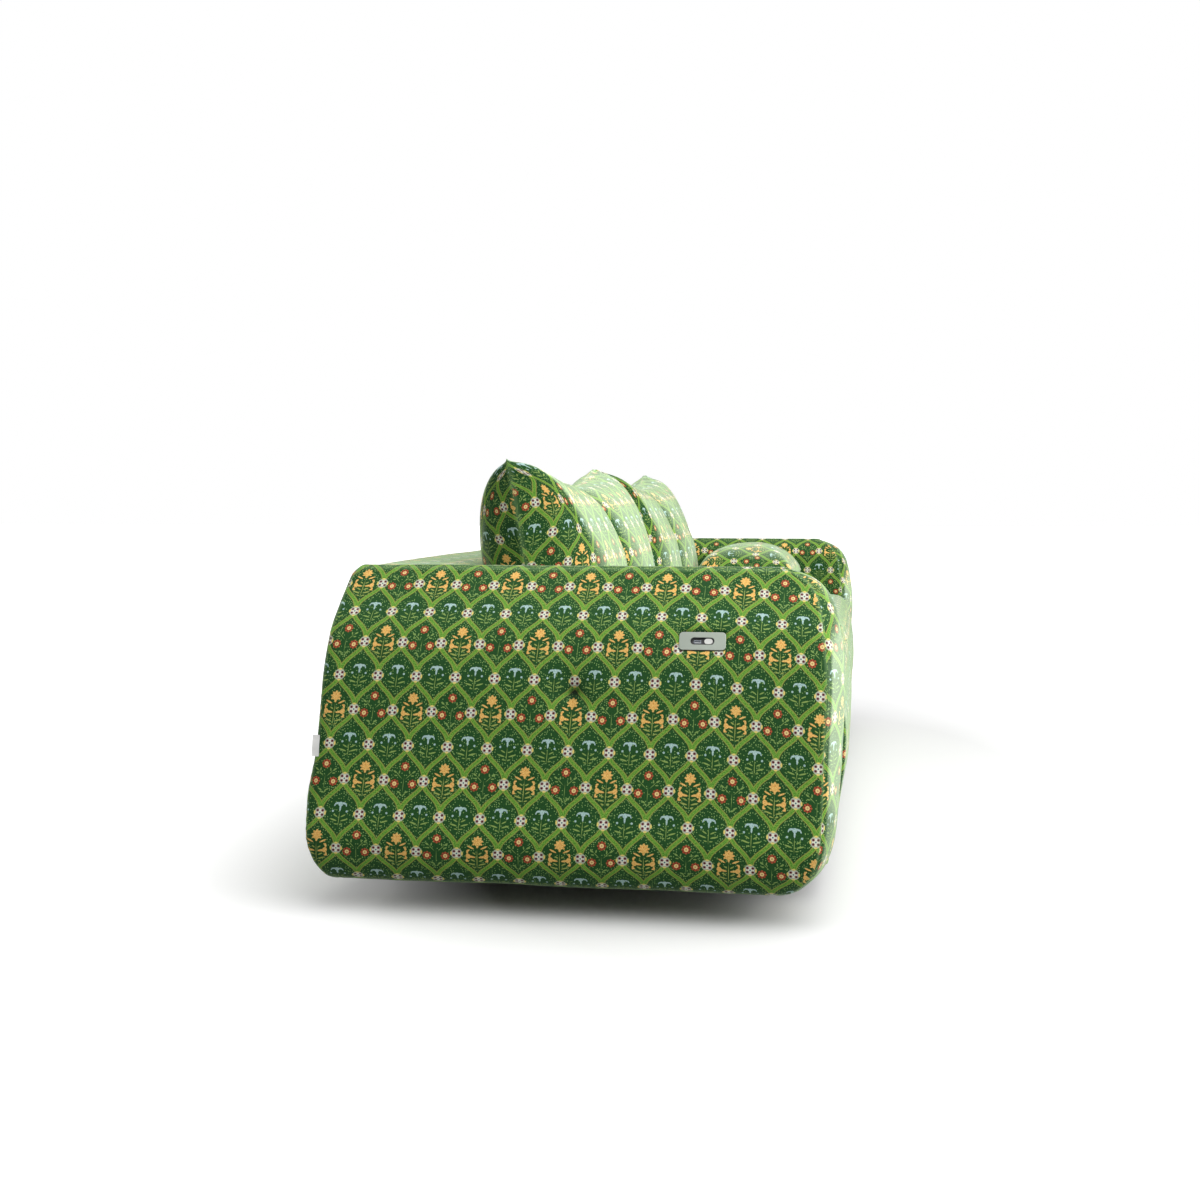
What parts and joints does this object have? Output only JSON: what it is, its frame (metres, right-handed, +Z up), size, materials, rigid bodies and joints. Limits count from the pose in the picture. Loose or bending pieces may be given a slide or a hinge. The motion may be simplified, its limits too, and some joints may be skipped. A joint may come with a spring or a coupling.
{
  "type": "sofa",
  "caption": "Long low upholstered sofa in printed velvet with leaning rounded arms, a low back, loose pillows, motorised sliding seats and a switch plate on each arm.",
  "frame": {"origin": "on the floor under the middle of the sofa's bounding box", "axes": "+X to the sofa's right end as seen from its front, -Y to the front, +Z up"},
  "size_m": [2.404, 0.979, 0.8271],
  "materials": {
    "velvet": "printed velvet, green with a trellis and flower sprigs",
    "foam": "cut foam",
    "frame_wood": "sanded pine and plywood",
    "dark_wood": "stained hardwood",
    "glide_plastic": "moulded",
    "bolt_steel": "zinc plated",
    "dust_cloth": "black non-woven cloth",
    "slide_steel": "zinc plated and greased",
    "actuator_paint": "powder coated",
    "rod_chrome": "polished",
    "webbing": "woven elastic",
    "black_plastic": "moulded",
    "light_plastic": "moulded, satin",
    "white_plastic": "moulded",
    "circuit_board": "solder mask",
    "socket_steel": "plated sheet",
    "plate_metal": "satin anodised",
    "tag_cloth": "blank woven satin"
  },
  "bodies": {
    "sofa_base": {"actuator_body_left": "actuator_paint", "actuator_body_right": "actuator_paint", "actuator_rear_mounts": "bolt_steel", "arm_cover_left": "velvet", "arm_cover_right": "velvet", "arm_foam_left": "foam", "arm_foam_right": "foam", "arm_frame_left": "frame_wood", "arm_frame_right": "frame_wood", "back_cover": "velvet", "back_foam": "foam", "back_frame": "frame_wood", "back_pillow_left": "velvet", "back_pillow_right": "velvet", "base_centre_rail": "frame_wood", "base_front_rail": "frame_wood", "base_rear_rail": "frame_wood", "base_side_rails": "frame_wood", "charging_sockets": "socket_steel", "control_box": "black_plastic", "control_housings": "black_plastic", "control_plate_left": "plate_metal", "control_plate_right": "plate_metal", "corner_blocks": "frame_wood", "dust_cloth": "dust_cloth", "feet": "dark_wood", "foot_bolts": "bolt_steel", "foot_glides": "glide_plastic", "frame_bolts": "bolt_steel", "rocker_pins": "bolt_steel", "sewn_tag": "tag_cloth", "slide_outer_members": "slide_steel", "socket_tongues": "white_plastic", "switch_boards": "circuit_board"},
    "seat_left": {"actuator_front_mount_left": "bolt_steel", "actuator_rod_left": "rod_chrome", "seat_cover_left": "velvet", "seat_foam_left": "foam", "seat_frame_left": "frame_wood", "seat_front_board_left": "frame_wood", "seat_front_pad_left": "foam", "seat_side_boards_left": "frame_wood", "seat_webbing_left": "webbing", "slide_inner_left": "slide_steel"},
    "seat_right": {"actuator_front_mount_right": "bolt_steel", "actuator_rod_right": "rod_chrome", "scatter_cushion": "velvet", "seat_cover_right": "velvet", "seat_foam_right": "foam", "seat_frame_right": "frame_wood", "seat_front_board_right": "frame_wood", "seat_front_pad_right": "foam", "seat_side_boards_right": "frame_wood", "seat_webbing_right": "webbing", "slide_inner_right": "slide_steel"},
    "slides_left": {"slide_middle_left": "slide_steel"},
    "slides_right": {"slide_middle_right": "slide_steel"},
    "rocker_left": {"rocker_left": "light_plastic"},
    "rocker_right": {"rocker_right": "light_plastic"}
  },
  "joints": [
    {"name": "seat_slide_left", "type": "slide", "parent": "sofa_base", "child": "seat_left", "axis": [0, -1, 0], "range_m": [0, 0.23]},
    {"name": "slide_travel_left", "type": "slide", "parent": "sofa_base", "child": "slides_left", "axis": [0, -1, 0], "range_m": [0, 0.115]},
    {"name": "rocker_tilt_left", "type": "hinge", "parent": "sofa_base", "child": "rocker_left", "pos_m": [-1.12964, -0.2408, 0.49386], "axis": [0.4181, 0, 0.9084], "range_deg": [-4, 4]},
    {"name": "seat_slide_right", "type": "slide", "parent": "sofa_base", "child": "seat_right", "axis": [0, -1, 0], "range_m": [0, 0.23]},
    {"name": "slide_travel_right", "type": "slide", "parent": "sofa_base", "child": "slides_right", "axis": [0, -1, 0], "range_m": [0, 0.115]},
    {"name": "rocker_tilt_right", "type": "hinge", "parent": "sofa_base", "child": "rocker_right", "pos_m": [1.12964, -0.2408, 0.49386], "axis": [-0.4181, 0, 0.9084], "range_deg": [-4, 4]}
  ],
  "couplings": [
    {"joint": "slide_travel_left", "follows": "seat_slide_left", "ratio": 0.5},
    {"joint": "slide_travel_right", "follows": "seat_slide_right", "ratio": 0.5}
  ]
}
